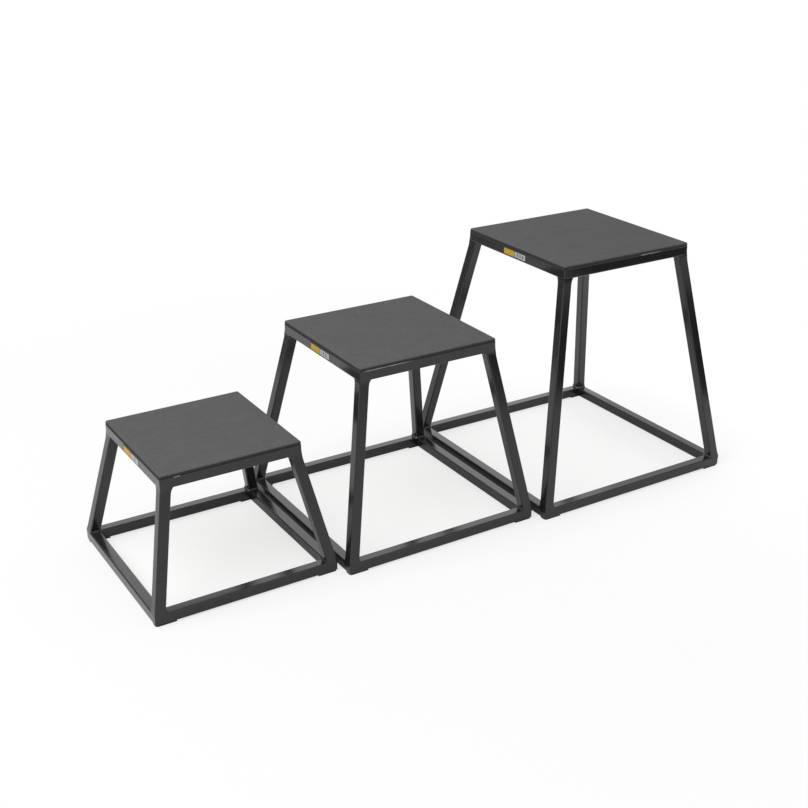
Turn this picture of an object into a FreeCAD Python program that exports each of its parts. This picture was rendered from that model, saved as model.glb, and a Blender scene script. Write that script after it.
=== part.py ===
import FreeCAD, Part
import math
import os

# A row of three square plyo boxes. Each one is a welded frame of square steel
# tube with four sloping legs, a plywood deck under a rubber mat, and rubber
# pads below its base. Millimetres: +X runs along the row from the lowest box to
# the tallest, +Y to the back, +Z up. The origin is on the floor, below the
# middle of the row.

# Each box: floor to top of mat, width over the base rails, width over the top rails
small_height = 320.0
small_base_width = 440.0
small_top_width = 331.0
medium_height = 466.0
medium_base_width = 516.0
medium_top_width = 368.0
large_height = 610.0
large_base_width = 585.0
large_top_width = 395.0

# How the boxes stand in the row: room between the bases, steps towards the front
small_medium_gap = 12.0
medium_large_gap = 20.0
medium_step_forward = 7.0
small_step_forward = 10.0

# Square tube of every rail and leg, and the welds between them
tube_width = 25.0
tube_wall = 1.5
tube_corner_radius = 3.0
tube_bore_radius = 1.5
frame_corner_radius = 3.5
leg_setback_base = 1.0
leg_setback_top = 0.5
weld_width = 3.5
weld_toe = 0.6

# Rubber mat on the deck
mat_thickness = 7.5
mat_corner_radius = 5.0

# Plywood board let into the top rails, on a tab in each corner
board_thickness = 12.0
board_clearance = 1.0
tab_length = 55.0
tab_tip_width = 8.0
tab_thickness = 3.0
tab_screw_inset = 19.0

# Rubber pads under both ends of the front and rear base rails
foot_length = 48.0
foot_width = 23.0
foot_thickness = 3.0
foot_end_setback = 1.0
foot_end_radius = 7.0
foot_end_radius_limit_share = 0.45
foot_screw_cover_share = 0.2

# Screws: up through the tabs into the board, and up through the pads into the rails.
# A cover is what is left between a screw and the surface that it stays clear of. A pad
# screw's head and cover are shares of the pad's thickness, and a head's round edge and
# drive slot are shares of the head.
deck_screw_radius = 2.0
deck_screw_cover = 3.0
deck_screw_head_radius = 4.2
deck_screw_head_height = 2.4
foot_screw_radius = 1.8
foot_screw_reach = 6.0
foot_screw_head_radius = 3.6
foot_screw_head_share = 0.43
screw_clearance = 0.2
screw_tip_room = 0.5
screw_head_edge_share = 0.35
drive_slot_width = 0.9
drive_slot_depth_share = 0.45
drive_slot_length_share = 1.2

# Plain label on the left top rail
label_length = 92.0
label_height = 18.0
label_thickness = 0.4
label_corner_radius = 1.5

# How far a cutting shape runs past what it cuts
cut_overrun = 5.0

# Sizes that follow from those above
foot_screw_head_height = foot_thickness * foot_screw_head_share
foot_recess_depth = foot_screw_head_height + foot_thickness * foot_screw_cover_share
foot_end_round = min(foot_end_radius, foot_width * foot_end_radius_limit_share)
deck_pilot_depth = board_thickness - deck_screw_cover
deck_screw_length = tab_thickness + deck_pilot_depth - screw_tip_room

quarter_turn = 90.0
half_turn = 180.0
origin = FreeCAD.Vector(0, 0, 0)
x_axis = FreeCAD.Vector(1, 0, 0)
y_axis = FreeCAD.Vector(0, 1, 0)
z_axis = FreeCAD.Vector(0, 0, 1)
corner_signs = {
    "front_left": (-1, -1),
    "front_right": (1, -1),
    "rear_left": (-1, 1),
    "rear_right": (1, 1),
}
side_turns = {
    "front": 0,
    "right": quarter_turn,
    "rear": half_turn,
    "left": -quarter_turn,
}


def rounded_rectangle(length, width, radius, centre):
    """Wire of a rectangle with round corners, level, about a centre point."""
    reach_x = length / 2 - radius
    reach_y = width / 2 - radius
    quadrants = [(1, 1), (-1, 1), (-1, -1), (1, -1)]
    arcs = []
    for index, (sign_x, sign_y) in enumerate(quadrants):
        middle = centre + FreeCAD.Vector(sign_x * reach_x, sign_y * reach_y, 0)
        start = index * quarter_turn
        arcs.append(Part.makeCircle(radius, middle, z_axis, start, start + quarter_turn))
    edges = []
    for arc, next_arc in zip(arcs, arcs[1:] + arcs[:1]):
        edges.append(arc)
        edges.append(Part.makeLine(arc.Vertexes[-1].Point, next_arc.Vertexes[0].Point))
    return Part.Wire(edges)


def rounded_plate(length, width, radius, thickness):
    """Flat plate with round corners, lying on the level plane."""
    return Part.Face(rounded_rectangle(length, width, radius, origin)).extrude(z_axis * thickness)


def tube_outline():
    return rounded_rectangle(tube_width, tube_width, tube_corner_radius, origin)


def tube_bore_outline():
    bore_width = tube_width - 2 * tube_wall
    return rounded_rectangle(bore_width, bore_width, tube_bore_radius, origin)


def straight_tube(length):
    """Upright length of the square tube, standing on the origin."""
    section = Part.makeFace([tube_outline(), tube_bore_outline()], "Part::FaceMakerBullseye")
    return section.extrude(z_axis * length)


def upright_prism(points, bottom, top):
    """Prism over a level outline given as (x, y) points."""
    corners = [FreeCAD.Vector(x, y, bottom) for x, y in points]
    return Part.Face(Part.makePolygon(corners + corners[:1])).extrude(z_axis * (top - bottom))


def upright_pin(radius, x, y, bottom, top):
    return Part.makeCylinder(radius, top - bottom, FreeCAD.Vector(x, y, bottom), z_axis)


def level_slab(width, bottom, top):
    """Square block, centred on the box's axis."""
    corner = FreeCAD.Vector(-width / 2, -width / 2, bottom)
    return Part.makeBox(width, width, top - bottom, corner)


def foot_places(base_width):
    """Middles of the four pads, seen from the box's axis."""
    along = base_width / 2 - foot_end_setback - foot_length / 2
    across = base_width / 2 - tube_width / 2
    return [(sign_x * along, sign_y * across) for sign_x, sign_y in corner_signs.values()]


def tab_screw_places(top_width):
    """Middles of the four deck screws, seen from the box's axis."""
    reach = top_width / 2 - tube_width - tab_screw_inset
    return [(sign_x * reach, sign_y * reach) for sign_x, sign_y in corner_signs.values()]


def mitred_rail(frame_width, bottom, side):
    """One side of a square frame of tube, mitred at both ends, its outer corners ground round."""
    half = frame_width / 2
    outside = half + cut_overrun
    inside = half - tube_width - cut_overrun
    cut_height = tube_width + 2 * cut_overrun
    rail = straight_tube(frame_width)
    rail.rotate(origin, y_axis, quarter_turn)
    rail.translate(FreeCAD.Vector(-half, tube_width / 2 - half, bottom + tube_width / 2))
    mitres = [(-outside, -outside), (outside, -outside), (inside, -inside), (-inside, -inside)]
    rail = rail.common(upright_prism(mitres, bottom - cut_overrun, bottom - cut_overrun + cut_height))
    ground_corners = rounded_plate(frame_width, frame_width, frame_corner_radius, cut_height)
    ground_corners.translate(z_axis * (bottom - cut_overrun))
    rail = rail.common(ground_corners)
    rail.rotate(origin, z_axis, side_turns[side])
    return rail


def drilled_base_rail(base_width, side):
    """Base rail, with the pads' screw holes where the rail has pads."""
    rail = mitred_rail(base_width, foot_thickness, side)
    hole_radius = foot_screw_radius + screw_clearance
    hole_top = foot_thickness + tube_wall + cut_overrun
    if side in ("front", "rear"):
        for x, y in foot_places(base_width):
            rail = rail.cut(upright_pin(hole_radius, x, y, foot_thickness - cut_overrun, hole_top))
    return rail


def leg_levels(height):
    """Levels of the leg's cut ends: on the base rails, and under the top rails."""
    return foot_thickness + tube_width, height - mat_thickness - tube_width


def leg_line(height, base_width, top_width, signs):
    """Middle of the leg's section at its lower and upper cut ends."""
    base_reach = base_width / 2 - leg_setback_base - tube_width / 2
    top_reach = top_width / 2 - leg_setback_top - tube_width / 2
    low, high = leg_levels(height)
    sign_x, sign_y = signs
    lower = FreeCAD.Vector(sign_x * base_reach, sign_y * base_reach, low)
    upper = FreeCAD.Vector(sign_x * top_reach, sign_y * top_reach, high)
    return lower, upper


def along_leg(upright, lower, upper):
    """Lays an upright shape along a leg, starting one tube's width before its end."""
    direction = upper - lower
    direction.normalize()
    upright.rotate(origin, z_axis.cross(direction), math.degrees(z_axis.getAngle(direction)))
    upright.translate(lower - direction * tube_width)
    return upright


def sloping_leg(height, base_width, top_width, signs):
    lower, upper = leg_line(height, base_width, top_width, signs)
    low, high = leg_levels(height)
    tube = along_leg(straight_tube((upper - lower).Length + 2 * tube_width), lower, upper)
    return tube.common(level_slab(base_width, low, high))


def leg_welds(height, base_width, top_width, signs):
    """Fillet welds on the leg's two inner faces, at both of its ends."""
    lower, upper = leg_line(height, base_width, top_width, signs)
    length = (upper - lower).Length + 2 * tube_width
    solid_leg = along_leg(Part.Face(tube_outline()).extrude(z_axis * length), lower, upper)
    lean = (upper - lower) * (weld_width / (upper.z - lower.z))
    root_width = tube_width + 2 * weld_width
    toe_width = tube_width + 2 * weld_toe
    ends = [
        (lower, lower + lean, base_width / 2 - leg_setback_base - tube_corner_radius),
        (upper, upper - lean, top_width / 2 - leg_setback_top - tube_corner_radius),
    ]
    beads = []
    for root, toe, reach in ends:
        root_wire = rounded_rectangle(root_width, root_width, tube_corner_radius, root)
        toe_wire = rounded_rectangle(toe_width, toe_width, tube_corner_radius, toe)
        bead = Part.makeLoft([root_wire, toe_wire], True, True).cut(solid_leg)
        bottom = min(root.z, toe.z) - cut_overrun
        top = max(root.z, toe.z) + cut_overrun
        beads += bead.common(level_slab(2 * reach, bottom, top)).Solids
    return beads


def screw(shank_radius, shank_length, head_radius, head_height):
    """Pan-head screw pointing up, its head just below the level plane."""
    head = upright_pin(head_radius, 0, 0, -head_height, 0)
    rim = [edge for edge in head.Edges if edge.BoundBox.ZMax < -head_height / 2]
    head = head.makeFillet(head_height * screw_head_edge_share, rim)
    slot_length = head_radius * drive_slot_length_share
    slot_depth = head_height * drive_slot_depth_share
    for turn in (0, quarter_turn):
        corner = FreeCAD.Vector(-slot_length / 2, -drive_slot_width / 2, -head_height - cut_overrun)
        slot = Part.makeBox(slot_length, drive_slot_width, slot_depth + cut_overrun, corner)
        slot.rotate(origin, z_axis, turn)
        head = head.cut(slot)
    shank = upright_pin(shank_radius, 0, 0, 0, shank_length)
    return head.fuse(shank).removeSplitter()


def screws_at(pattern, places, level):
    """Copies of one screw, their heads seated against a level from below."""
    copies = []
    for x, y in places:
        copy = pattern.copy()
        copy.translate(FreeCAD.Vector(x, y, level))
        copies.append(copy)
    return Part.makeCompound(copies)


def rubber_feet(base_width):
    """Pads with their outer ends rounded, each with a recess for its screw's head."""
    feet = []
    hole_radius = foot_screw_radius + screw_clearance
    recess_radius = foot_screw_head_radius + screw_clearance
    for (x, y), (sign_x, _) in zip(foot_places(base_width), corner_signs.values()):
        corner = FreeCAD.Vector(x - foot_length / 2, y - foot_width / 2, 0)
        foot = Part.makeBox(foot_length, foot_width, foot_thickness, corner)
        upright_edges = [edge for edge in foot.Edges if edge.BoundBox.ZLength > foot_thickness / 2]
        outer_edges = [edge for edge in upright_edges if sign_x * (edge.CenterOfMass.x - x) > 0]
        foot = foot.makeFillet(foot_end_round, outer_edges)
        hole = upright_pin(hole_radius, x, y, -cut_overrun, foot_thickness + cut_overrun)
        recess = upright_pin(recess_radius, x, y, -cut_overrun, foot_recess_depth)
        feet.append(foot.cut(hole).cut(recess))
    return Part.makeCompound(feet)


def foot_screws(base_width):
    length = foot_thickness - foot_recess_depth + tube_wall + foot_screw_reach
    pattern = screw(foot_screw_radius, length, foot_screw_head_radius, foot_screw_head_height)
    return screws_at(pattern, foot_places(base_width), foot_recess_depth)


def deck_board(top_width, top):
    """Plywood square between the top rails, flush with them, drilled from below."""
    bottom = top - board_thickness
    board = level_slab(top_width - 2 * tube_width - 2 * board_clearance, bottom, top)
    pilot_radius = deck_screw_radius + screw_clearance
    for x, y in tab_screw_places(top_width):
        pilot = upright_pin(pilot_radius, x, y, bottom - cut_overrun, bottom + deck_pilot_depth)
        board = board.cut(pilot)
    return board


def deck_tabs(top_width, top):
    """Corner plates welded between the top rails, under the board."""
    corner = top_width / 2 - tube_width
    tip = corner - tab_tip_width
    end = corner - tab_length
    outline = [(corner, corner), (end, corner), (end, tip), (tip, end), (corner, end)]
    high = top - board_thickness
    low = high - tab_thickness
    hole_radius = deck_screw_radius + screw_clearance
    tabs = []
    for (sign_x, sign_y), (x, y) in zip(corner_signs.values(), tab_screw_places(top_width)):
        points = [(sign_x * across, sign_y * along) for across, along in outline]
        hole = upright_pin(hole_radius, x, y, low - cut_overrun, high + cut_overrun)
        tabs.append(upright_prism(points, low, high).cut(hole))
    return Part.makeCompound(tabs)


def deck_screws(top_width, top):
    pattern = screw(deck_screw_radius, deck_screw_length, deck_screw_head_radius, deck_screw_head_height)
    return screws_at(pattern, tab_screw_places(top_width), top - board_thickness - tab_thickness)


def deck_mat(top_width, top):
    mat = rounded_plate(top_width, top_width, mat_corner_radius, mat_thickness)
    mat.translate(z_axis * top)
    return mat


def size_label(top_width, top):
    """Thin plate on the outer face of the left top rail."""
    label = rounded_plate(label_length, label_height, label_corner_radius, label_thickness)
    label.rotate(origin, x_axis, quarter_turn)
    label.rotate(origin, z_axis, -quarter_turn)
    label.translate(FreeCAD.Vector(-top_width / 2, 0, top - tube_width / 2))
    return label


def plyo_box(height, base_width, top_width):
    """Every piece of one box, by name, standing on the floor about the Z axis."""
    rail_top = height - mat_thickness
    pieces = {}
    welds = []
    for side in side_turns:
        pieces["base_rail_" + side] = drilled_base_rail(base_width, side)
        pieces["top_rail_" + side] = mitred_rail(top_width, rail_top - tube_width, side)
    for corner, signs in corner_signs.items():
        pieces["leg_" + corner] = sloping_leg(height, base_width, top_width, signs)
        welds += leg_welds(height, base_width, top_width, signs)
    pieces["leg_welds"] = Part.makeCompound(welds)
    pieces["deck_board"] = deck_board(top_width, rail_top)
    pieces["deck_tabs"] = deck_tabs(top_width, rail_top)
    pieces["deck_screws"] = deck_screws(top_width, rail_top)
    pieces["deck_mat"] = deck_mat(top_width, rail_top)
    pieces["rubber_feet"] = rubber_feet(base_width)
    pieces["foot_screws"] = foot_screws(base_width)
    pieces["size_label"] = size_label(top_width, rail_top)
    return pieces


def write_box(name, pieces, place):
    for piece_name, piece in pieces.items():
        piece.translate(place)
        piece.exportStep("parts/" + name + "_" + piece_name + ".step")


row_length = small_base_width + small_medium_gap + medium_base_width + medium_large_gap + large_base_width
small_x = small_base_width / 2 - row_length / 2
medium_x = small_x + small_base_width / 2 + small_medium_gap + medium_base_width / 2
large_x = row_length / 2 - large_base_width / 2

os.makedirs("parts", exist_ok=True)
write_box(
    "small",
    plyo_box(small_height, small_base_width, small_top_width),
    FreeCAD.Vector(small_x, -small_step_forward, 0),
)
write_box(
    "medium",
    plyo_box(medium_height, medium_base_width, medium_top_width),
    FreeCAD.Vector(medium_x, -medium_step_forward, 0),
)
write_box(
    "large",
    plyo_box(large_height, large_base_width, large_top_width),
    FreeCAD.Vector(large_x, 0, 0),
)
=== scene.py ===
import math

import bpy
from bpy.props import FloatProperty, FloatVectorProperty, PointerProperty
from mathutils import Matrix, Vector, noise


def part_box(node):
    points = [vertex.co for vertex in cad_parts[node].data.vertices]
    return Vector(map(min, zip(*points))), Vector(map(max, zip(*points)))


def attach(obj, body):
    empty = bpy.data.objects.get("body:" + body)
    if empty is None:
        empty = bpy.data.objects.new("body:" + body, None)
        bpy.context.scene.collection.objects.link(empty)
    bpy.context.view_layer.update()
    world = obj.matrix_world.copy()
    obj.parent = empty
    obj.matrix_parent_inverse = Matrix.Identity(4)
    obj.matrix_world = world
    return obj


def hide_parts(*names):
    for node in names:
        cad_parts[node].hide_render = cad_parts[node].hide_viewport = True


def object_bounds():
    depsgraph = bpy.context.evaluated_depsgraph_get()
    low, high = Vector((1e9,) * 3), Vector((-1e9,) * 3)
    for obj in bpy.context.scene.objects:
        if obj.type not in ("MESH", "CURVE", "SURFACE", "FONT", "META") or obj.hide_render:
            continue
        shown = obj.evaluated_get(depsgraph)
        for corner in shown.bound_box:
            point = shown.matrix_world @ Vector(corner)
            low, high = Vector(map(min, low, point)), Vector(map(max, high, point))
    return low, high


bl_info = {
    "name": "Plyo Box Row",
    "version": (1, 0, 0),
    "blender": (4, 5, 0),
    "location": "3D View > Sidebar > Plyo boxes",
    "description": "Finishes a row of steel-tube plyo boxes and stands it in a pale studio",
    "category": "Object",
}

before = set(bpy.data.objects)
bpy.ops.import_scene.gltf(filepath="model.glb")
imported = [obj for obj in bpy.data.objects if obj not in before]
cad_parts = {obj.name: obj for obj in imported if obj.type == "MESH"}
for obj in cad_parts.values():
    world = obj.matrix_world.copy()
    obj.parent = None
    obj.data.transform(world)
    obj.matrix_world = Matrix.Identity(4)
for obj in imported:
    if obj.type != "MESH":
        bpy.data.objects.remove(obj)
cad_low, cad_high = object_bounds()

# The boxes from left to right, with how many bars their labels carry
BOXES = {"small": 1, "medium": 2, "large": 3}
SIDES = ("front", "rear", "left", "right")
CORNERS = {
    "front_left": (-1, -1),
    "front_right": (1, -1),
    "rear_left": (-1, 1),
    "rear_right": (1, 1),
}
# Stretch of painted highlight (a glint) along each front top rail's upper edge, as shares of the
# rail's length from its left end
GLINT_STRETCHES = {"small": (0.09, 0.14), "medium": (0.015, 0.39), "large": (0.595, 0.785)}
# Layout of a label: margins as shares of its height, the bars' pitch as a share of its length, and
# half a bar's width as a share of that pitch
FIELD_MARGIN = 0.1
BAR_MARGIN = 0.27
BAR_PITCH = 0.12
BAR_HALF_WIDTH = 0.18
# Rounding of an edge that lies against another piece, as a share of the open edge's
HIDDEN_EDGE_SHARE = 0.3
# How close to a level a mesh point has to be to lie on it, in metres
LEVEL_TOLERANCE = 0.00001
# How far a ground bead's end lies under the leg's face, so that the two share no plane, in metres
SEAM_SINK = 0.00002
# Sharpest turn between two faces that is shaded as a curve
WELD_SMOOTH_ANGLE = math.radians(60)
RUBBER_SMOOTH_ANGLE = math.radians(40)
PRINT_SMOOTH_ANGLE = math.radians(30)
# Range that holds most values of a noise
NOISE_RANGE = (0.3, 0.7)
IMAGE_PIXELS = 808
SENSOR_WIDTH_MM = 36.0


# Settings that a user would change

class PlyoFinish(bpy.types.PropertyGroup):
    """Colours of the finishes"""

    paint: FloatVectorProperty(
        name="Paint", description="Powder coat on the tubes, tabs and welds",
        subtype="COLOR", min=0, max=1, default=(0.0135, 0.0135, 0.014))
    # Lighter edge colour: partly polished by handling, partly painted highlight on the tubes' edges
    paint_rubbed_and_sheen: FloatVectorProperty(
        name="Rubbed paint and sheen", description="Powder coat where edges are polished by handling",
        subtype="COLOR", min=0, max=1, default=(0.04, 0.04, 0.041))
    # Painted highlight: pale colour of the glints along the front top rails' upper edges
    paint_glint: FloatVectorProperty(
        name="Glint colour", description="Upper edge of a rail where its coat is worn thin",
        subtype="COLOR", min=0, max=1, default=(0.3, 0.3, 0.3))
    mat: FloatVectorProperty(
        name="Mat", description="Rubber sheet on the deck",
        subtype="COLOR", min=0, max=1, default=(0.115, 0.115, 0.116))
    mat_fleck: FloatVectorProperty(
        name="Mat fleck", description="Darker patches of the rubber sheet",
        subtype="COLOR", min=0, max=1, default=(0.1, 0.1, 0.101))
    # Painted shade: colour of the mat's sides, darker than its top
    mat_edge: FloatVectorProperty(
        name="Mat edge", description="Cut edge of the rubber sheet",
        subtype="COLOR", min=0, max=1, default=(0.042, 0.042, 0.043))
    foot: FloatVectorProperty(
        name="Foot", description="Rubber pads under the base rails",
        subtype="COLOR", min=0, max=1, default=(0.02, 0.02, 0.021))
    dust: FloatVectorProperty(
        name="Dust", description="Fine dust on level surfaces",
        subtype="COLOR", min=0, max=1, default=(0.22, 0.215, 0.205))
    wood_pale: FloatVectorProperty(
        name="Pale wood", description="Early wood and pale plies of the deck board",
        subtype="COLOR", min=0, max=1, default=(0.56, 0.4, 0.235))
    wood_dark: FloatVectorProperty(
        name="Dark wood", description="Late wood and dark plies of the deck board",
        subtype="COLOR", min=0, max=1, default=(0.34, 0.2, 0.1))
    zinc: FloatVectorProperty(
        name="Zinc", description="Plating of the screws",
        subtype="COLOR", min=0, max=1, default=(0.58, 0.58, 0.56))
    label_film: FloatVectorProperty(
        name="Label film", description="Black film of the size label",
        subtype="COLOR", min=0, max=1, default=(0.02, 0.02, 0.02))
    label_amber: FloatVectorProperty(
        name="Label amber", description="Amber field of the size label",
        subtype="COLOR", min=0, max=1, default=(0.55, 0.32, 0.012))
    label_pale: FloatVectorProperty(
        name="Label grey", description="Pale field of the size label",
        subtype="COLOR", min=0, max=1, default=(0.42, 0.42, 0.425))
    label_bar: FloatVectorProperty(
        name="Label bars", description="Bars on the pale field of the size label",
        subtype="COLOR", min=0, max=1, default=(0.13, 0.13, 0.132))


class PlyoSizes(bpy.types.PropertyGroup):
    """Sizes of the modelled details"""

    mat_corner_radius: FloatProperty(
        name="Mat corner radius", description="Rounding of the mat's corners, seen from above",
        unit="LENGTH", default=0.005)
    mat_edge_radius: FloatProperty(
        name="Mat edge radius", description="Rounding of the mat's upper edge",
        unit="LENGTH", default=0.004)
    mat_unevenness: FloatProperty(
        name="Mat unevenness", description="How far the glued sheet dips below its highest points",
        unit="LENGTH", default=0.0004)
    foot_length: FloatProperty(
        name="Foot length", description="Length of a rubber pad along its rail",
        unit="LENGTH", default=0.048)
    foot_width: FloatProperty(
        name="Foot width", description="Width of a rubber pad across its rail",
        unit="LENGTH", default=0.023)
    foot_end_radius: FloatProperty(
        name="Foot end radius", description="Rounding of a pad's outer end",
        unit="LENGTH", default=0.007)
    foot_edge_radius: FloatProperty(
        name="Foot edge radius", description="Rounding of a pad's lower edge",
        unit="LENGTH", default=0.0009)
    foot_recess_radius: FloatProperty(
        name="Foot recess radius", description="Recess in a pad for its screw's head",
        unit="LENGTH", default=0.0038)
    foot_recess_depth: FloatProperty(
        name="Foot recess depth", description="Depth of that recess",
        unit="LENGTH", default=0.0019)
    tube_corner_radius: FloatProperty(
        name="Tube corner radius", description="Outer corner radius of the square tube",
        unit="LENGTH", default=0.003)
    weld_base_radius: FloatProperty(
        name="Base weld radius", description="Bead on the inner faces at the foot of a leg",
        unit="LENGTH", default=0.0045)
    weld_top_radius: FloatProperty(
        name="Top weld radius", description="Bead on the inner faces at the head of a leg",
        unit="LENGTH", default=0.0055)
    weld_ground_height: FloatProperty(
        name="Ground weld height", description="How far the bead on a leg's outer faces runs along it",
        unit="LENGTH", default=0.022)
    weld_ground_depth: FloatProperty(
        name="Ground weld depth", description="How far that bead stays below the rail's outer faces",
        unit="LENGTH", default=0.00005)
    weld_ripple: FloatProperty(
        name="Weld ripple", description="Length of one ripple along a bead",
        unit="LENGTH", default=0.0028)
    # Reach of the painted highlight (glint) below a rail's top
    glint_depth: FloatProperty(
        name="Glint depth", description="How far below a rail's top its worn edge reaches",
        unit="LENGTH", default=0.003)
    label_print: FloatProperty(
        name="Label print", description="Thickness of the printed fields on the label film",
        unit="LENGTH", default=0.00015)


class PlyoStudio(bpy.types.PropertyGroup):
    """Light and camera of the studio"""

    world_light: FloatProperty(
        name="World light", description="Strength of the even white light from all round",
        min=0, default=0.45)
    key_lamp_watts: FloatProperty(
        name="Key lamp", description="Power of the broad lamp above the left end of the row",
        min=0, default=270)
    key_lamp_place: FloatVectorProperty(
        name="Key lamp place", description="Middle of the broad lamp",
        subtype="XYZ", unit="LENGTH", default=(-3.6, -0.3, 4.8))
    key_lamp_size: FloatVectorProperty(
        name="Key lamp size", description="Width and height of the broad lamp",
        size=2, unit="LENGTH", default=(5.0, 5.0))
    rear_lamp_watts: FloatProperty(
        name="Rear lamp", description="Power of the long lamp behind the row",
        min=0, default=14)
    rear_lamp_place: FloatVectorProperty(
        name="Rear lamp place", description="Middle of the long lamp",
        subtype="XYZ", unit="LENGTH", default=(1.55, 3.7, 2.0))
    rear_lamp_size: FloatVectorProperty(
        name="Rear lamp size", description="Width and height of the long lamp",
        size=2, unit="LENGTH", default=(3.8, 1.9))
    side_lamp_watts: FloatProperty(
        name="Side lamp", description="Power of the low lamp for the floor at the right end",
        min=0, default=32)
    side_lamp_place: FloatVectorProperty(
        name="Side lamp place", description="Middle of the low lamp",
        subtype="XYZ", unit="LENGTH", default=(2.0, 0.1, 0.25))
    side_lamp_size: FloatVectorProperty(
        name="Side lamp size", description="Width and height of the low lamp",
        size=2, unit="LENGTH", default=(2.2, 0.4))
    floor: FloatVectorProperty(
        name="Floor", description="Colour of the studio floor",
        subtype="COLOR", min=0, max=1, default=(0.93, 0.93, 0.93))
    floor_shadow: FloatProperty(
        name="Floor shadow", description="Share of the floor's look that takes light and shadow",
        subtype="FACTOR", min=0, max=1, default=0.3)
    shadow_full: FloatProperty(
        name="Full shadow", description="Distance from the row's middle up to which that share holds",
        unit="LENGTH", default=0.9)
    shadow_none: FloatProperty(
        name="No shadow", description="Distance from the row's middle where the floor is plain white",
        unit="LENGTH", default=1.8)
    floor_mirrored: FloatProperty(
        name="Mirrored floor", description="Share of the floor's plain white that reflections show",
        subtype="FACTOR", min=0, max=1, default=0.2)
    floor_reach: FloatProperty(
        name="Floor reach", description="Half the width of the floor",
        unit="LENGTH", default=40.0)
    front_card: FloatVectorProperty(
        name="Front card", description="Card at the right front, which shows only in reflections",
        subtype="COLOR", min=0, max=1, default=(0.03, 0.03, 0.03))
    front_card_low: FloatVectorProperty(
        name="Front card low", description="Lowest corner of the upright card at the right front",
        subtype="XYZ", unit="LENGTH", default=(1.35, -2.9, 0.06))
    front_card_high: FloatVectorProperty(
        name="Front card high", description="Highest corner of the upright card at the right front",
        subtype="XYZ", unit="LENGTH", default=(1.35, -0.65, 0.42))
    rear_card: FloatVectorProperty(
        name="Rear card", description="Card at the left rear, which shows only in reflections",
        subtype="COLOR", min=0, max=1, default=(0.27, 0.27, 0.27))
    rear_card_low: FloatVectorProperty(
        name="Rear card low", description="Lowest corner of the upright card at the left rear",
        subtype="XYZ", unit="LENGTH", default=(-2.2, 1.5, 0.0))
    rear_card_high: FloatVectorProperty(
        name="Rear card high", description="Highest corner of the upright card at the left rear",
        subtype="XYZ", unit="LENGTH", default=(-0.5, 1.5, 0.9))
    camera_place: FloatVectorProperty(
        name="Camera place", description="Where the camera stands, in the row's frame",
        subtype="XYZ", unit="LENGTH", default=(-1.5007, -2.3632, 1.4845))
    camera_heading: FloatProperty(
        name="Camera heading", description="Turn of the view from +Y towards +X",
        subtype="ANGLE", default=math.radians(31.95))
    camera_pitch: FloatProperty(
        name="Camera pitch", description="Tilt of the view below the horizon",
        subtype="ANGLE", default=math.radians(23.788))
    camera_roll: FloatProperty(
        name="Camera roll", description="Turn of the camera about its view",
        subtype="ANGLE", default=math.radians(0.197))
    camera_focal_pixels: FloatProperty(
        name="Focal length in pixels", description="Focal length over the width of one image pixel",
        default=1230.5)


# Node helpers

def new_node(tree, kind, **settings):
    """Node with its own settings."""
    node = tree.nodes.new(kind)
    for name, value in settings.items():
        setattr(node, name, value)
    return node


def join(tree, source, target):
    """Link from an output to an input."""
    tree.links.new(source, target)


def math_node(tree, operation, first, second):
    """Math node whose two inputs are sockets or numbers."""
    node = new_node(tree, "ShaderNodeMath", operation=operation)
    for socket, value in zip(node.inputs, (first, second)):
        if isinstance(value, bpy.types.NodeSocket):
            join(tree, value, socket)
        else:
            socket.default_value = value
    return node.outputs[0]


def remap(tree, value, given_range, made_range=(0.0, 1.0)):
    """Linear map of a value from one range to another, held at both ends."""
    node = new_node(tree, "ShaderNodeMapRange", clamp=True)
    join(tree, value, node.inputs["Value"])
    node.inputs["From Min"].default_value, node.inputs["From Max"].default_value = given_range
    node.inputs["To Min"].default_value, node.inputs["To Max"].default_value = made_range
    return node.outputs["Result"]


def mix_colours(tree, factor, first, second):
    """Colour between two colours or colour sockets."""
    node = new_node(tree, "ShaderNodeMix", data_type="RGBA")
    join(tree, factor, node.inputs["Factor"])
    for name, value in (("A", first), ("B", second)):
        socket = next(s for s in node.inputs if s.name == name and s.type == "RGBA")
        if isinstance(value, bpy.types.NodeSocket):
            join(tree, value, socket)
        else:
            socket.default_value = (*value, 1)
    return next(s for s in node.outputs if s.type == "RGBA")


def tint(tree, base, colour, mask, share):
    """Lays a colour over a base colour where a mask is set, up to a share."""
    return mix_colours(tree, math_node(tree, "MULTIPLY", mask, share), base, colour)


def darker(colour, share):
    """A colour at a share of its brightness."""
    return tuple(share * part for part in colour)


def own_place(tree):
    """Place on the object, in its own coordinates."""
    return new_node(tree, "ShaderNodeTexCoord").outputs["Object"]


def axes_of(tree, vector):
    """The X, Y and Z of a vector."""
    node = new_node(tree, "ShaderNodeSeparateXYZ")
    join(tree, vector, node.inputs[0])
    return node.outputs


def facing(tree):
    """The X, Y and Z of the direction that a surface faces."""
    return axes_of(tree, new_node(tree, "ShaderNodeNewGeometry").outputs["Normal"])


def stretched(tree, vector, scales):
    """A vector scaled along each axis."""
    node = new_node(tree, "ShaderNodeMapping")
    node.inputs["Scale"].default_value = scales
    join(tree, vector, node.inputs["Vector"])
    return node.outputs["Vector"]


def object_noise(tree, coordinates, scale, detail):
    """Noise over the object's own coordinates. The scale is a socket or a number per metre."""
    node = new_node(tree, "ShaderNodeTexNoise")
    node.inputs["Detail"].default_value = detail
    join(tree, coordinates, node.inputs["Vector"])
    if isinstance(scale, bpy.types.NodeSocket):
        join(tree, scale, node.inputs["Scale"])
    else:
        node.inputs["Scale"].default_value = scale
    return node.outputs["Fac"]


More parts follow.
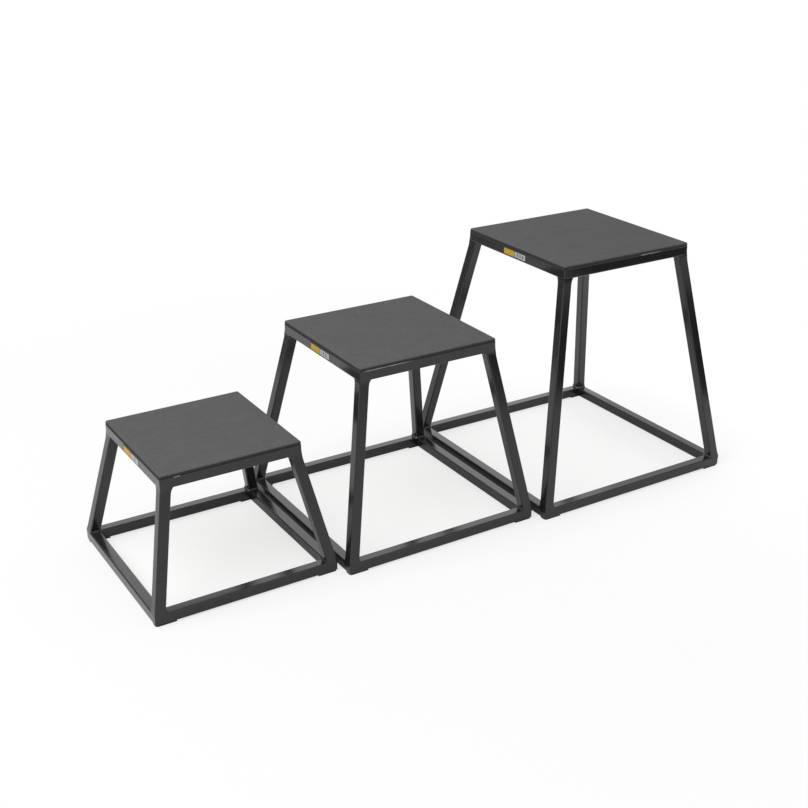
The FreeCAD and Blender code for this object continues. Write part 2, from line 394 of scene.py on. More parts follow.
def new_group(name, inputs, outputs):
    """Shader node group with named number inputs and outputs."""
    group = bpy.data.node_groups.new(name, "ShaderNodeTree")
    for label, value in inputs.items():
        socket = group.interface.new_socket(label, in_out="INPUT", socket_type="NodeSocketFloat")
        socket.default_value = value
    for label in outputs:
        group.interface.new_socket(label, in_out="OUTPUT", socket_type="NodeSocketFloat")
    return group, new_node(group, "NodeGroupInput"), new_node(group, "NodeGroupOutput")


def place_group(tree, name, **values):
    """Puts a shared group into a material, with its own values."""
    node = new_node(tree, "ShaderNodeGroup", node_tree=bpy.data.node_groups[name])
    for label, value in values.items():
        node.inputs[label.replace("_", " ").capitalize()].default_value = value
    return node.outputs


# Shared effects

def build_coat_grain():
    """Fine grain of a sprayed or moulded surface, and broad patches of tone."""
    inputs = {"Grain size": 0.001, "Patch size": 0.08}
    tree, given, made = new_group("Coat grain", inputs, ("Grain", "Patch"))
    place = own_place(tree)
    for size, detail, output in (("Grain size", 2, "Grain"), ("Patch size", 4, "Patch")):
        scale = math_node(tree, "DIVIDE", 1.0, given.outputs[size])
        join(tree, object_noise(tree, place, scale, detail), made.inputs[output])


def build_edge_wear_and_sheen():
    """Mask of convex edges, partly wear from hands and floors and partly painted highlight along them,
    broken up by noise.
    """
    tree, given, made = new_group("Edge rub", {"Edge radius": 0.002, "Breakup size": 0.02}, ("Mask",))
    surface = new_node(tree, "ShaderNodeNewGeometry")
    rounded = new_node(tree, "ShaderNodeBevel", samples=6)
    join(tree, given.outputs["Edge radius"], rounded.inputs["Radius"])
    agreement = new_node(tree, "ShaderNodeVectorMath", operation="DOT_PRODUCT")
    join(tree, rounded.outputs["Normal"], agreement.inputs[0])
    join(tree, surface.outputs["Normal"], agreement.inputs[1])
    edge = remap(tree, agreement.outputs["Value"], (0.995, 0.9))
    scale = math_node(tree, "DIVIDE", 1.0, given.outputs["Breakup size"])
    breakup = remap(tree, object_noise(tree, own_place(tree), scale, detail=5), (0.4, 0.65))
    join(tree, math_node(tree, "MULTIPLY", edge, breakup), made.inputs["Mask"])


def build_painted_glint():
    """Mask of one ragged stretch of painted highlight (a glint) along the upper edge of a rail in
    front of the row's middle.
    """
    inputs = {"Start": 0.0, "End": 0.1, "Top": 0.3, "Depth": 0.003}
    tree, given, made = new_group("Worn edge", inputs, ("Mask",))
    place = own_place(tree)
    axes = axes_of(tree, place)
    travelled = math_node(tree, "SUBTRACT", axes["X"], given.outputs["Start"])
    length = math_node(tree, "SUBTRACT", given.outputs["End"], given.outputs["Start"])
    share = math_node(tree, "DIVIDE", travelled, length)
    begun = remap(tree, share, (0.0, 0.12))
    ended = remap(tree, share, (0.75, 1.0), (1.0, 0.0))
    drop = math_node(tree, "SUBTRACT", given.outputs["Top"], axes["Z"])
    drop_share = math_node(tree, "DIVIDE", drop, given.outputs["Depth"])
    edge = remap(tree, drop_share, (0.7, 1.0), (1.0, 0.0))
    front = math_node(tree, "LESS_THAN", axes["Y"], 0.0)
    ragged = object_noise(tree, stretched(tree, place, (60, 400, 400)), 1.0, detail=4)
    breakup = remap(tree, ragged, (0.35, 0.6), (0.3, 1.0))
    along = math_node(tree, "MULTIPLY", math_node(tree, "MULTIPLY", begun, ended), breakup)
    across = math_node(tree, "MULTIPLY", edge, front)
    join(tree, math_node(tree, "MULTIPLY", along, across), made.inputs["Mask"])


def build_settled_dust():
    """Mask of dust on surfaces that face up."""
    tree, given, made = new_group("Settled dust", {"Patch size": 0.06}, ("Mask",))
    level = remap(tree, facing(tree)["Z"], (0.75, 1.0))
    scale = math_node(tree, "DIVIDE", 1.0, given.outputs["Patch size"])
    patches = object_noise(tree, own_place(tree), scale, detail=6)
    strewn = remap(tree, patches, (0.35, 0.75), (0.15, 1.0))
    join(tree, math_node(tree, "MULTIPLY", level, strewn), made.inputs["Mask"])


def build_rubber_pebble():
    """Small rounded bumps of a pressed rubber sheet, and a fleck of tone."""
    fleck_share = 0.45
    tree, given, made = new_group("Rubber pebble", {"Pebble size": 0.003}, ("Height", "Fleck"))
    place = own_place(tree)
    scale = math_node(tree, "DIVIDE", 1.0, given.outputs["Pebble size"])
    cells = new_node(tree, "ShaderNodeTexVoronoi", feature="SMOOTH_F1")
    join(tree, place, cells.inputs["Vector"])
    join(tree, scale, cells.inputs["Scale"])
    join(tree, remap(tree, cells.outputs["Distance"], (0.0, 0.8), (1.0, 0.0)), made.inputs["Height"])
    fleck_scale = math_node(tree, "MULTIPLY", scale, fleck_share)
    fleck = object_noise(tree, place, fleck_scale, detail=8)
    join(tree, remap(tree, fleck, (0.35, 0.65)), made.inputs["Fleck"])


def build_effects():
    """Makes the node groups that the materials share."""
    build_coat_grain()
    build_edge_wear_and_sheen()
    build_painted_glint()
    build_settled_dust()
    build_rubber_pebble()


# Materials

def new_material(name, **values):
    """Material with a Principled shader whose plain values are set on its own sockets."""
    material = bpy.data.materials.new(name)
    material.use_nodes = True
    tree = material.node_tree
    shader = tree.nodes["Principled BSDF"]
    for label, value in values.items():
        shader.inputs[label.replace("_", " ").title().replace("Ior", "IOR")].default_value = value
    return material, tree, shader


def vary_roughness(tree, shader, value, rough_range, given_range=NOISE_RANGE):
    """Lets a value move the shader's roughness within a range."""
    join(tree, remap(tree, value, given_range, rough_range), shader.inputs["Roughness"])


def bump(tree, shader, height, depth, strength):
    """Lets a height push the shader's normal, with its depth in metres."""
    node = new_node(tree, "ShaderNodeBump")
    node.inputs["Distance"].default_value = depth
    node.inputs["Strength"].default_value = strength
    join(tree, height, node.inputs["Height"])
    join(tree, node.outputs["Normal"], shader.inputs["Normal"])


def frame_paint(name, wear_and_sheen_share):
    """Charcoal-black powder coat, satin, its edges lightened by wear and painted highlight, with
    painted glints along the front top rails' upper edges.
    """
    finish = bpy.context.scene.plyo_finish
    material, tree, shader = new_material(name)
    coat = place_group(tree, "Coat grain", grain_size=0.0011, patch_size=0.09)
    edge_wear_and_sheen = place_group(tree, "Edge rub", edge_radius=0.0022, breakup_size=0.03)
    dust = place_group(tree, "Settled dust", patch_size=0.05)
    tone = mix_colours(tree, coat["Patch"], darker(finish.paint, 0.8), finish.paint)
    # Edges lightened: partly wear, partly painted highlight
    tone = tint(tree, tone, finish.paint_rubbed_and_sheen, edge_wear_and_sheen["Mask"], wear_and_sheen_share)
    tone = tint(tree, tone, finish.dust, dust["Mask"], share=0.05)
    # Painted highlight: pale glints along the front top rails' upper edges
    for box, (start, end) in GLINT_STRETCHES.items():
        low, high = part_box(box + "_top_rail_front")
        length = high.x - low.x
        edge = place_group(
            tree, "Worn edge", start=low.x + start * length, end=low.x + end * length,
            top=high.z, depth=bpy.context.scene.plyo_sizes.glint_depth)
        tone = mix_colours(tree, edge["Mask"], tone, finish.paint_glint)
    join(tree, tone, shader.inputs["Base Color"])
    vary_roughness(tree, shader, coat["Patch"], (0.13, 0.19))
    bump(tree, shader, coat["Grain"], depth=0.00008, strength=0.2)
    return material


def mat_rubber():
    """Dull dark rubber sheet, pebbled, its sides painted darker than its top as shade, with a trace of
    dust.
    """
    finish = bpy.context.scene.plyo_finish
    material, tree, shader = new_material("mat_rubber", specular_ior_level=0.02)
    pebble = place_group(tree, "Rubber pebble", pebble_size=0.0026)
    coat = place_group(tree, "Coat grain", grain_size=0.0008, patch_size=0.11)
    dust = place_group(tree, "Settled dust", patch_size=0.035)
    level = remap(tree, facing(tree)["Z"], (0.3, 0.8))
    face = mix_colours(tree, pebble["Fleck"], finish.mat_fleck, finish.mat)
    # Painted shade: faces that turn away from up take the darker side colour
    tone = mix_colours(tree, level, finish.mat_edge, face)
    join(tree, tint(tree, tone, finish.dust, dust["Mask"], share=0.1), shader.inputs["Base Color"])
    vary_roughness(tree, shader, coat["Patch"], (0.7, 0.85))
    bump(tree, shader, pebble["Height"], depth=0.0003, strength=0.45)
    return material


def foot_rubber():
    """Black moulded rubber, scuffed on its lower edges."""
    finish = bpy.context.scene.plyo_finish
    material, tree, shader = new_material("foot_rubber")
    pebble = place_group(tree, "Rubber pebble", pebble_size=0.0012)
    edge_wear_and_sheen = place_group(tree, "Edge rub", edge_radius=0.0012, breakup_size=0.008)
    scuffed = tint(tree, finish.foot, finish.dust, edge_wear_and_sheen["Mask"], share=0.3)
    join(tree, scuffed, shader.inputs["Base Color"])
    vary_roughness(tree, shader, pebble["Fleck"], (0.6, 0.75), given_range=(0.0, 1.0))
    bump(tree, shader, pebble["Height"], depth=0.0001, strength=0.4)
    return material


def deck_plywood():
    """Birch plywood: veneer grain on its faces, layered plies on its edges."""
    finish = bpy.context.scene.plyo_finish
    material, tree, shader = new_material("deck_plywood")
    place = own_place(tree)
    grain = object_noise(tree, stretched(tree, place, (4, 70, 4)), 1.0, detail=7)
    late_wood = remap(tree, grain, (0.3, 0.75), (0.0, 0.75))
    face = mix_colours(tree, late_wood, finish.wood_pale, finish.wood_dark)
    plies = new_node(tree, "ShaderNodeTexWave", wave_type="BANDS", bands_direction="Z")
    plies.inputs["Scale"].default_value = 130
    plies.inputs["Distortion"].default_value = 0.6
    join(tree, place, plies.inputs["Vector"])
    edge = mix_colours(tree, plies.outputs["Fac"], finish.wood_dark, finish.wood_pale)
    level = math_node(tree, "ABSOLUTE", facing(tree)["Z"], 0.0)
    join(tree, mix_colours(tree, level, edge, face), shader.inputs["Base Color"])
    vary_roughness(tree, shader, grain, (0.55, 0.75))
    bump(tree, shader, grain, depth=0.0002, strength=0.35)
    return material


def screw_zinc():
    """Bright zinc plating, faintly clouded."""
    finish = bpy.context.scene.plyo_finish
    material, tree, shader = new_material("screw_zinc", metallic=1.0)
    coat = place_group(tree, "Coat grain", grain_size=0.0005, patch_size=0.004)
    clouded = mix_colours(tree, coat["Patch"], darker(finish.zinc, 0.75), finish.zinc)
    join(tree, clouded, shader.inputs["Base Color"])
    vary_roughness(tree, shader, coat["Patch"], (0.25, 0.42))
    bump(tree, shader, coat["Grain"], depth=0.00004, strength=0.3)
    return material


def label_print(name, colour):
    """Matt print or film of the label, a little faded in patches."""
    material, tree, shader = new_material(name, specular_ior_level=0.25)
    coat = place_group(tree, "Coat grain", grain_size=0.0004, patch_size=0.012)
    faded = mix_colours(tree, coat["Patch"], darker(colour, 0.82), colour)
    join(tree, faded, shader.inputs["Base Color"])
    vary_roughness(tree, shader, coat["Patch"], (0.4, 0.5))
    bump(tree, shader, coat["Grain"], depth=0.00002, strength=0.3)
    return material


# Mesh helpers

def rounded_outline(half_x, half_y, radii, corner_steps, side_steps):
    """Points round a rectangle with its own radius at each corner, anticlockwise from +X +Y."""
    points = []
    quadrants = ((1, 1), (-1, 1), (-1, -1), (1, -1))
    for index, ((sign_x, sign_y), radius) in enumerate(zip(quadrants, radii)):
        middle = Vector((sign_x * (half_x - radius), sign_y * (half_y - radius)))
        for step in range(corner_steps + 1):
            angle = (index + step / corner_steps) * math.pi / 2
            points.append(middle + radius * Vector((math.cos(angle), math.sin(angle))))
        next_x, next_y = quadrants[(index + 1) % len(quadrants)]
        next_radius = radii[(index + 1) % len(radii)]
        end = Vector((next_x * half_x, next_y * half_y))
        end -= next_radius * (Vector((0, next_y)) if index % 2 else Vector((next_x, 0)))
        start = points[-1].copy()
        points += [start.lerp(end, step / side_steps) for step in range(1, side_steps)]
    return points


def even_outline(half_x, half_y, radius, corner_steps, side_steps):
    """Points round a rectangle with one radius at all corners."""
    return rounded_outline(half_x, half_y, [radius] * 4, corner_steps, side_steps)


def stacked_loops(loops):
    """Vertices and faces of a closed skin over loops with equal numbers of points."""
    count = len(loops[0])
    vertices = [point for loop in loops for point in loop]
    faces = [list(range(count))[::-1]]
    for level in range(len(loops) - 1):
        low = level * count
        high = low + count
        for index in range(count):
            after = (index + 1) % count
            faces.append([low + index, low + after, high + after, high + index])
    faces.append([len(vertices) - count + index for index in range(count)])
    return vertices, faces


def new_piece(name, shells, material, smooth_angle):
    """Mesh object of one or more separate shells, each given as vertices and faces."""
    vertices = []
    faces = []
    for shell_vertices, shell_faces in shells:
        start = len(vertices)
        vertices += [tuple(vertex) for vertex in shell_vertices]
        faces += [[start + index for index in face] for face in shell_faces]
    mesh = bpy.data.meshes.new(name)
    mesh.from_pydata(vertices, [], faces)
    if mesh.validate():
        raise RuntimeError(name + " has broken faces")
    mesh.shade_smooth()
    mesh.set_sharp_from_angle(angle=smooth_angle)
    mesh.materials.append(material)
    piece = bpy.data.objects.new(name, mesh)
    bpy.context.scene.collection.objects.link(piece)
    return piece


def settle(piece, box, slot, *nodes):
    """Puts a piece on the body that it moves with and hides the nodes that it stands for. The slot
    argument is not used.
    """
    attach(piece, box + "_box")
    if nodes:
        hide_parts(*nodes)


def finish_nodes(material, ending):
    """Gives a material to one node of every box."""
    for box in BOXES:
        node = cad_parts[box + "_" + ending]
        node.data.materials.clear()
        node.data.materials.append(material)


# Shapes

def mat_shell(low, high):
    """Rubber sheet with round corners, a soft upper edge and a slightly uneven top."""
    sizes = bpy.context.scene.plyo_sizes
    corner_steps = 8
    side_steps = 24
    edge_steps = 5
    top_rings = 20
    waves_per_metre = 14
    flat_rim_share = 0.25
    lower_inset = HIDDEN_EDGE_SHARE * sizes.mat_edge_radius
    middle = (low + high) / 2
    half_x = (high.x - low.x) / 2
    half_y = (high.y - low.y) / 2

    def loop(inset, height):
        radius = sizes.mat_corner_radius - inset
        outline = even_outline(half_x - inset, half_y - inset, radius, corner_steps, side_steps)
        return [Vector((middle.x + point.x, middle.y + point.y, height)) for point in outline]

    loops = [loop(lower_inset, low.z), loop(0, low.z + lower_inset)]
    for step in range(edge_steps + 1):
        angle = step / edge_steps * math.pi / 2
        drop = sizes.mat_edge_radius * (1 - math.sin(angle))
        loops.append(loop(sizes.mat_edge_radius * (1 - math.cos(angle)), high.z - drop))
    rim = loops[-1]
    for ring in range(1, top_rings):
        share = 1 - ring / top_rings
        inner = []
        for point in rim:
            x = middle.x + share * (point.x - middle.x)
            y = middle.y + share * (point.y - middle.y)
            dip = 0.5 + 0.5 * noise.noise(Vector((x, y, high.z)) * waves_per_metre)
            dip *= min(1, (1 - share) / flat_rim_share)
            inner.append(Vector((x, y, high.z - dip * sizes.mat_unevenness)))
        loops.append(inner)
    return stacked_loops(loops)


def foot_shell(low, high, sign_x):
    """Rubber pad, its outer end rounded, with a recess for a screw's head."""
    sizes = bpy.context.scene.plyo_sizes
    inner = 0.0015
    outer = sizes.foot_end_radius
    radii = [outer, inner, inner, outer] if sign_x > 0 else [inner, outer, outer, inner]
    corner_steps = 7
    side_steps = 12
    edge_steps = 4
    middle = (low + high) / 2
    half_x = (high.x - low.x) / 2
    half_y = (high.y - low.y) / 2

    def loop(inset, height):
        shrunk = [radius - inset for radius in radii]
        outline = rounded_outline(half_x - inset, half_y - inset, shrunk, corner_steps, side_steps)
        return [Vector((middle.x + point.x, middle.y + point.y, height)) for point in outline]

    edge = sizes.foot_edge_radius
    upper_inset = HIDDEN_EDGE_SHARE * edge
    loops = [loop(upper_inset, high.z), loop(0, high.z - upper_inset)]
    for step in range(edge_steps + 1):
        angle = step / edge_steps * math.pi / 2
        loops.append(loop(edge * (1 - math.cos(angle)), low.z + edge * (1 - math.sin(angle))))
    rim = []
    for point in loops[-1]:
        outward = Vector((point.x - middle.x, point.y - middle.y, 0)).normalized()
        rim.append(Vector((middle.x, middle.y, low.z)) + sizes.foot_recess_radius * outward)
    loops.append(rim)
    loops.append([point + Vector((0, 0, sizes.foot_recess_depth)) for point in rim])
    vertices, faces = stacked_loops(loops)
    return vertices, [face[::-1] for face in faces]


def leg_ends(box, corner):
    """Middles of a leg's lower and upper cut ends."""
    node = f"{box}_leg_{corner}"
    points = [vertex.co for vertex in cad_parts[node].data.vertices]
    ends = []
    for level in (limit.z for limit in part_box(node)):
        cut = [point for point in points if abs(point.z - level) < LEVEL_TOLERANCE]
        middle_x = (min(point.x for point in cut) + max(point.x for point in cut)) / 2
        middle_y = (min(point.y for point in cut) + max(point.y for point in cut)) / 2
        ends.append(Vector((middle_x, middle_y, level)))
    return ends


def leg_section(axis, width):
    """Level section of a square tube that leans along an axis, about its middle."""
    turn = Vector((0, 0, 1)).rotation_difference(axis)
    radius = bpy.context.scene.plyo_sizes.tube_corner_radius
    points = []
    for point in even_outline(width / 2, width / 2, radius, corner_steps=6, side_steps=24):
        tilted = turn @ point.to_3d()
        points.append(tilted - axis * (tilted.z / axis.z))
    return points


def outer_room(rail_low_x, middle_x, end, section):
    """How far a bead can stand out from a leg's outer face and stay under the rail's."""
    leg_half = max(point.x for point in section)
    room = middle_x - rail_low_x - abs(end.x - middle_x) - leg_half
    return max(room - bpy.context.scene.plyo_sizes.weld_ground_depth, 2 * SEAM_SINK)


def weld_bead(joint, leg_side, axis, section, signs, bead_radius, ground_reach):
    """Rippled hollow fillet round a leg's end, ground to a long thin taper on the two outer faces."""
    sizes = bpy.context.scene.plyo_sizes
    fillet_steps = 16
    ripple_share = 0.1
    # Sideways shift of the leg per metre of height
    lean = axis / axis.z - Vector((0, 0, 1))
    travelled = 0.0
    loops = []
    for index, point in enumerate(section):
        before = section[index - 1]
        after = section[(index + 1) % len(section)]
        travelled += (point - before).length if index else 0
        out = Vector((after.y - before.y, before.x - after.x, 0)).normalized()
        ground = min(1, max(0, signs[0] * out.x, signs[1] * out.y))
        ripple = 1 + (1 - ground) * ripple_share * math.sin(math.tau * travelled / sizes.weld_ripple)
        reach = ripple * (bead_radius + ground * (ground_reach - bead_radius))
        rise = ripple * (bead_radius + ground * (sizes.weld_ground_height - bead_radius))
        ring = []
        for step in range(fillet_steps):
            angle = math.tau * step / fillet_steps
            up = rise * math.sin(angle)
            along_leg = leg_side * max(0, leg_side * up)
            hollow = math.copysign((1 - abs(math.sin(angle))) ** 2, math.cos(angle))
            spread = reach * hollow - ground * SEAM_SINK
            ring.append(joint + point + Vector((0, 0, up)) + along_leg * lean + spread * out)
        loops.append(ring)
    count = len(loops)
    vertices = [vertex for ring in loops for vertex in ring]
    faces = []
    for index in range(count):
        low = index * fillet_steps
        high = (index + 1) % count * fillet_steps
        for step in range(fillet_steps):
            after = (step + 1) % fillet_steps
            faces.append([low + step, high + step, high + after, low + after])
    return vertices, faces


def print_shell(face_x, thickness, low_y, high_y, low_z, high_z):
    """Thin printed field with round corners, standing off a label that faces -X."""
    corner_radius = 0.0008
    edge_share = 0.3
    length = high_y - low_y
    height = high_z - low_z
    outline = even_outline(length / 2, height / 2, corner_radius, corner_steps=4, side_steps=2)
    middle_y = (low_y + high_y) / 2
    middle_z = (low_z + high_z) / 2
    edge = edge_share * thickness
    loops = []
    for inset, proud in ((0, 0), (0, thickness - edge), (edge, thickness)):
        loops.append([
            Vector((
                face_x - proud,
                middle_y - point.x * (1 - inset / length),
                middle_z + point.y * (1 - inset / height),
            ))
            for point in outline
        ])
    return stacked_loops(loops)


def add_print(box, ending, shells, material):
    """Printed fields of one colour on a box's size label."""
    piece = new_piece(f"{box}_label_{ending}", shells, material, PRINT_SMOOTH_ANGLE)
    settle(piece, box, "label_film")


# Studio

def seen_or_passed(tree, path):
    """Mask of rays that come from the camera, straight or through something clear."""
    return math_node(tree, "MAXIMUM", path["Is Camera Ray"], path["Is Transmission Ray"])


def add_world(scene, studio):
    """Even light from all round, pure white where it is seen or mirrored."""
    world = bpy.data.worlds.new("studio_white")
    world.use_nodes = True
    tree = world.node_tree
    light = tree.nodes["Background"]
    light.inputs["Color"].default_value = (1, 1, 1, 1)
    light.inputs["Strength"].default_value = studio.world_light
    backdrop = new_node(tree, "ShaderNodeBackground")
    backdrop.inputs["Color"].default_value = (1, 1, 1, 1)
    path = new_node(tree, "ShaderNodeLightPath").outputs
    shown = math_node(tree, "MAXIMUM", seen_or_passed(tree, path), path["Is Glossy Ray"])
    mix = new_node(tree, "ShaderNodeMixShader")
    join(tree, shown, mix.inputs["Fac"])
    join(tree, light.outputs[0], mix.inputs[1])
    join(tree, backdrop.outputs[0], mix.inputs[2])
    join(tree, mix.outputs[0], tree.nodes["World Output"].inputs["Surface"])
    scene.world = world


def stage_sheet(scene, name, corners):
    """Four-sided sheet of the studio, with an empty material to fill."""
    mesh = bpy.data.meshes.new(name)
    mesh.from_pydata(corners, [], [(0, 1, 2, 3)])
    sheet = bpy.data.objects.new(name, mesh)
    scene.collection.objects.link(sheet)
    material = bpy.data.materials.new(name)
    material.use_nodes = True
    material.node_tree.nodes.remove(material.node_tree.nodes["Principled BSDF"])
    mesh.materials.append(material)
    return sheet, material.node_tree


def add_floor(scene, studio):
    """White paper that keeps the row's shadow, fades to plain white, and is clear from below."""
    reach = studio.floor_reach
    corners = [(-reach, -reach, 0), (reach, -reach, 0), (reach, reach, 0), (-reach, reach, 0)]
    _, tree = stage_sheet(scene, "studio_floor", corners)
    path = new_node(tree, "ShaderNodeLightPath").outputs
    mirrored = math_node(tree, "MULTIPLY", path["Is Glossy Ray"], studio.floor_mirrored)
    shown = math_node(tree, "MAXIMUM", seen_or_passed(tree, path), mirrored)
    paper = new_node(tree, "ShaderNodeBsdfDiffuse")
    paper.inputs["Color"].default_value = (*studio.floor, 1)
    distance = new_node(tree, "ShaderNodeVectorMath", operation="LENGTH")
    join(tree, own_place(tree), distance.inputs[0])
    plain = remap(
        tree, distance.outputs["Value"], (studio.shadow_full, studio.shadow_none),
        (1 - studio.floor_shadow, 1))
    glow = new_node(tree, "ShaderNodeEmission")
    mix = new_node(tree, "ShaderNodeMixShader")
    join(tree, math_node(tree, "MULTIPLY", shown, plain), mix.inputs["Fac"])
    join(tree, paper.outputs[0], mix.inputs[1])
    join(tree, glow.outputs[0], mix.inputs[2])
    below = new_node(tree, "ShaderNodeNewGeometry").outputs["Backfacing"]
    clear = new_node(tree, "ShaderNodeMixShader")
    join(tree, math_node(tree, "MULTIPLY", path["Is Camera Ray"], below), clear.inputs["Fac"])
    join(tree, mix.outputs[0], clear.inputs[1])
    join(tree, new_node(tree, "ShaderNodeBsdfTransparent").outputs[0], clear.inputs[2])
    join(tree, clear.outputs[0], tree.nodes["Material Output"].inputs["Surface"])


def add_card(scene, studio, name):
    """Upright card that darkens reflections, and neither shows itself nor takes light away."""
    low = getattr(studio, name + "_low")
    high = getattr(studio, name + "_high")
    corners = [low, (high[0], high[1], low[2]), high, (low[0], low[1], high[2])]
    card, tree = stage_sheet(scene, name, corners)
    card.visible_camera = False
    card.visible_diffuse = False
    card.visible_transmission = False
    card.visible_shadow = False
    felt = new_node(tree, "ShaderNodeBsdfDiffuse")
    felt.inputs["Color"].default_value = (*getattr(studio, name), 1)
    join(tree, felt.outputs[0], tree.nodes["Material Output"].inputs["Surface"])


def add_lamp(scene, studio, name, mirrored):
    """Soft rectangular lamp that faces the middle of the row. Gloss shows it only where mirrored."""
    data = bpy.data.lights.new(name, "AREA")
    data.energy = getattr(studio, name + "_watts")
    data.shape = "RECTANGLE"
    data.size, data.size_y = getattr(studio, name + "_size")
    lamp = bpy.data.objects.new(name, data)
    lamp.location = getattr(studio, name + "_place")
    lamp.rotation_mode = "QUATERNION"
    lamp.rotation_quaternion = (lamp.location - (cad_low + cad_high) / 2).to_track_quat("Z", "Y")
    lamp.visible_camera = False
    lamp.visible_glossy = mirrored
    scene.collection.objects.link(lamp)


def add_camera(scene, studio):
    """Camera at the photograph's viewing angle."""
    data = bpy.data.cameras.new("photo_camera")
    data.sensor_width = SENSOR_WIDTH_MM
    data.lens = studio.camera_focal_pixels / IMAGE_PIXELS * SENSOR_WIDTH_MM
    camera = bpy.data.objects.new("photo_camera", data)
    heading = studio.camera_heading
    pitch = studio.camera_pitch
    level = Vector((math.cos(heading), -math.sin(heading), 0))
    forward = Vector((
        math.sin(heading) * math.cos(pitch),
        math.cos(heading) * math.cos(pitch),
        -math.sin(pitch),
    ))
    upright = level.cross(forward)
    right = math.cos(studio.camera_roll) * level + math.sin(studio.camera_roll) * upright
    up = right.cross(forward)
    turn = Matrix((right, up, -forward)).transposed()
    camera.matrix_world = Matrix.Translation(studio.camera_place) @ turn.to_4x4()
    scene.collection.objects.link(camera)
    scene.camera = camera


# Operators

class PLYO_OT_frames(bpy.types.Operator):
    """Paints the rails, legs and deck tabs of every box"""

    bl_idname = "plyo.frames"
    bl_label = "Paint the frames"

    def execute(self, context):
        paint = frame_paint("frame_paint", wear_and_sheen_share=0.5)
        for side in SIDES:
            finish_nodes(paint, "base_rail_" + side)
            finish_nodes(paint, "top_rail_" + side)
        for corner in CORNERS:
            finish_nodes(paint, "leg_" + corner)
        finish_nodes(paint, "deck_tabs")
        return {"FINISHED"}


class PLYO_OT_welds(bpy.types.Operator):
    """Lays rippled weld beads round both ends of every leg"""

    bl_idname = "plyo.welds"
    bl_label = "Lay the welds"

    def execute(self, context):
        sizes = context.scene.plyo_sizes
        paint = frame_paint("weld_paint", wear_and_sheen_share=0.0)
        for box in BOXES:
            front_low, front_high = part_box(box + "_base_rail_front")
            middle_x = (front_low.x + front_high.x) / 2
            base_low, base_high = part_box(box + "_base_rail_left")
            top_low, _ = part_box(box + "_top_rail_left")
            beads = []
            for corner, signs in CORNERS.items():
                lower, upper = leg_ends(box, corner)
                axis = (upper - lower).normalized()
                section = leg_section(axis, base_high.z - base_low.z)
                for end, leg_side, rail_low, radius in (
                        (lower, 1, base_low, sizes.weld_base_radius),
                        (upper, -1, top_low, sizes.weld_top_radius)):
                    room = outer_room(rail_low.x, middle_x, end, section)
                    beads.append(weld_bead(end, leg_side, axis, section, signs, radius, room))
            piece = new_piece(box + "_weld_beads", beads, paint, WELD_SMOOTH_ANGLE)
            settle(piece, box, "frame_paint", box + "_leg_welds")
        return {"FINISHED"}


class PLYO_OT_mats(bpy.types.Operator):
    """Lays a rubber mat on every deck"""

    bl_idname = "plyo.mats"
    bl_label = "Lay the mats"

    def execute(self, context):
        rubber = mat_rubber()
        for box in BOXES:
            node = box + "_deck_mat"
            shell = mat_shell(*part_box(node))
            piece = new_piece(box + "_rubber_mat", [shell], rubber, RUBBER_SMOOTH_ANGLE)
            settle(piece, box, "mat_rubber", node)
        return {"FINISHED"}


class PLYO_OT_boards(bpy.types.Operator):
    """Finishes the plywood boards under the mats"""

    bl_idname = "plyo.boards"
    bl_label = "Finish the deck boards"

    def execute(self, context):
        finish_nodes(deck_plywood(), "deck_board")
        return {"FINISHED"}


class PLYO_OT_feet(bpy.types.Operator):
    """Puts rubber pads under the front and rear base rails"""

    bl_idname = "plyo.feet"
    bl_label = "Fit the feet"

    def execute(self, context):
        sizes = context.scene.plyo_sizes
        rubber = foot_rubber()
        for box in BOXES:
            node = box + "_rubber_feet"
            low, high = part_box(node)
            pads = []
            for sign_x, sign_y in CORNERS.values():
                start_x = high.x - sizes.foot_length if sign_x > 0 else low.x
                start_y = high.y - sizes.foot_width if sign_y > 0 else low.y
                pad_low = Vector((start_x, start_y, low.z))
                pad_high = Vector((start_x + sizes.foot_length, start_y + sizes.foot_width, high.z))
                pads.append(foot_shell(pad_low, pad_high, sign_x))
            piece = new_piece(box + "_foot_pads", pads, rubber, RUBBER_SMOOTH_ANGLE)
            settle(piece, box, "foot_rubber", node)
        return {"FINISHED"}


class PLYO_OT_screws(bpy.types.Operator):
    """Plates the deck and foot screws"""

    bl_idname = "plyo.screws"
    bl_label = "Plate the screws"

    def execute(self, context):
        zinc = screw_zinc()
        finish_nodes(zinc, "deck_screws")
        finish_nodes(zinc, "foot_screws")
        return {"FINISHED"}


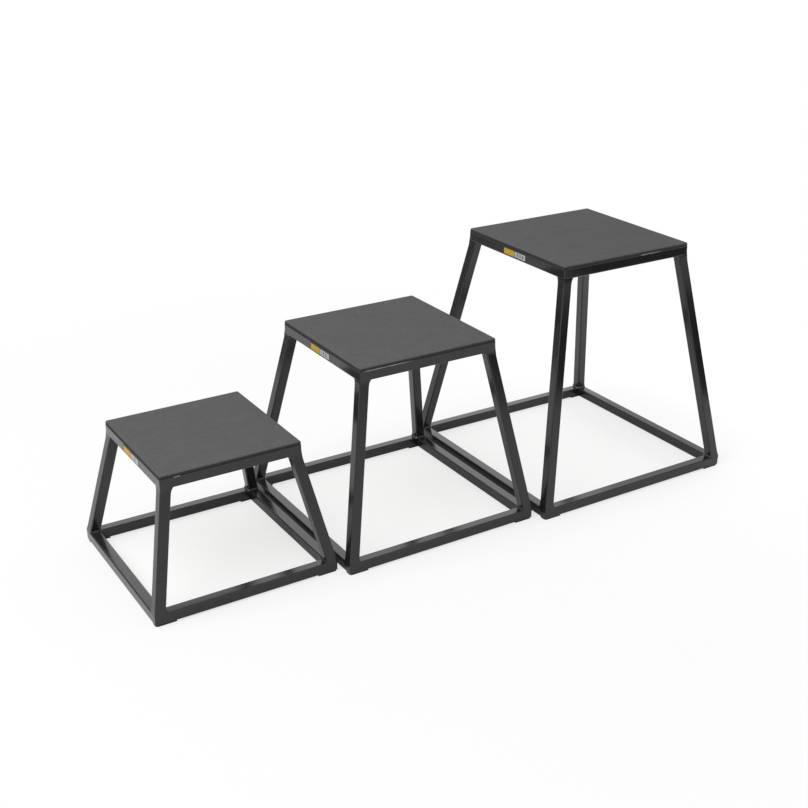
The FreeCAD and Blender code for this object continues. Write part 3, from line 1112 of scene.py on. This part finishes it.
class PLYO_OT_labels(bpy.types.Operator):
    """Prints a plain amber field and one to three bars on the size labels"""

    bl_idname = "plyo.labels"
    bl_label = "Print the labels"

    def execute(self, context):
        finish = context.scene.plyo_finish
        thickness = context.scene.plyo_sizes.label_print
        film = label_print("label_film", finish.label_film)
        amber = label_print("label_amber", finish.label_amber)
        pale = label_print("label_pale", finish.label_pale)
        grey = label_print("label_bar", finish.label_bar)
        finish_nodes(film, "size_label")
        for box, bars in BOXES.items():
            low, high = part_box(box + "_size_label")
            length = high.y - low.y
            height = high.z - low.z
            edge = FIELD_MARGIN * height
            middle = low.y + length / 2
            bottom, top = low.z + edge, high.z - edge
            field = print_shell(low.x, thickness, middle + edge / 2, high.y - edge, bottom, top)
            add_print(box, "field", [field], amber)
            panel = print_shell(low.x, thickness, low.y + edge, middle - edge / 2, bottom, top)
            add_print(box, "panel", [panel], pale)
            pitch = BAR_PITCH * length
            half = BAR_HALF_WIDTH * pitch
            bottom, top = low.z + BAR_MARGIN * height, high.z - BAR_MARGIN * height
            shells = []
            for bar in range(bars):
                bar_y = low.y + length / 4 + (bar - (bars - 1) / 2) * pitch
                shells.append(print_shell(
                    low.x - thickness, thickness, bar_y - half, bar_y + half, bottom, top))
            add_print(box, "bars", shells, grey)
        return {"FINISHED"}


class PLYO_OT_stage(bpy.types.Operator):
    """Sets up the pale floor, the soft light and the camera"""

    bl_idname = "plyo.stage"
    bl_label = "Set up the studio"

    def execute(self, context):
        scene = context.scene
        studio = scene.plyo_studio
        scene.view_settings.view_transform = "Standard"
        add_world(scene, studio)
        add_floor(scene, studio)
        for name in ("front_card", "rear_card"):
            add_card(scene, studio, name)
        for name in ("key_lamp", "rear_lamp", "side_lamp"):
            add_lamp(scene, studio, name, mirrored=name != "side_lamp")
        add_camera(scene, studio)
        return {"FINISHED"}


class PLYO_PT_sidebar(bpy.types.Panel):
    """Lists the steps and settings of the plyo boxes"""

    bl_idname = "PLYO_PT_sidebar"
    bl_label = "Plyo boxes"
    bl_space_type = "VIEW_3D"
    bl_region_type = "UI"
    bl_category = "Plyo boxes"

    def draw(self, context):
        for step in STEPS:
            self.layout.operator(step.bl_idname)
        for group in SETTINGS:
            settings = getattr(context.scene, group)
            column = self.layout.column()
            for name in settings.__annotations__:
                column.prop(settings, name)


STEPS = (
    PLYO_OT_frames,
    PLYO_OT_welds,
    PLYO_OT_mats,
    PLYO_OT_boards,
    PLYO_OT_feet,
    PLYO_OT_screws,
    PLYO_OT_labels,
    PLYO_OT_stage,
)
SETTINGS = {"plyo_finish": PlyoFinish, "plyo_sizes": PlyoSizes, "plyo_studio": PlyoStudio}


def register():
    for name, settings in SETTINGS.items():
        bpy.utils.register_class(settings)
        setattr(bpy.types.Scene, name, PointerProperty(type=settings))
    for step in (*STEPS, PLYO_PT_sidebar):
        bpy.utils.register_class(step)


def unregister():
    for step in (PLYO_PT_sidebar, *reversed(STEPS)):
        bpy.utils.unregister_class(step)
    for name, settings in SETTINGS.items():
        delattr(bpy.types.Scene, name)
        bpy.utils.unregister_class(settings)


def main():
    register()
    build_effects()
    bpy.ops.plyo.frames()
    bpy.ops.plyo.welds()
    bpy.ops.plyo.mats()
    bpy.ops.plyo.boards()
    bpy.ops.plyo.feet()
    bpy.ops.plyo.screws()
    bpy.ops.plyo.labels()
    bpy.ops.plyo.stage()


if __name__ == "__main__":
    main()
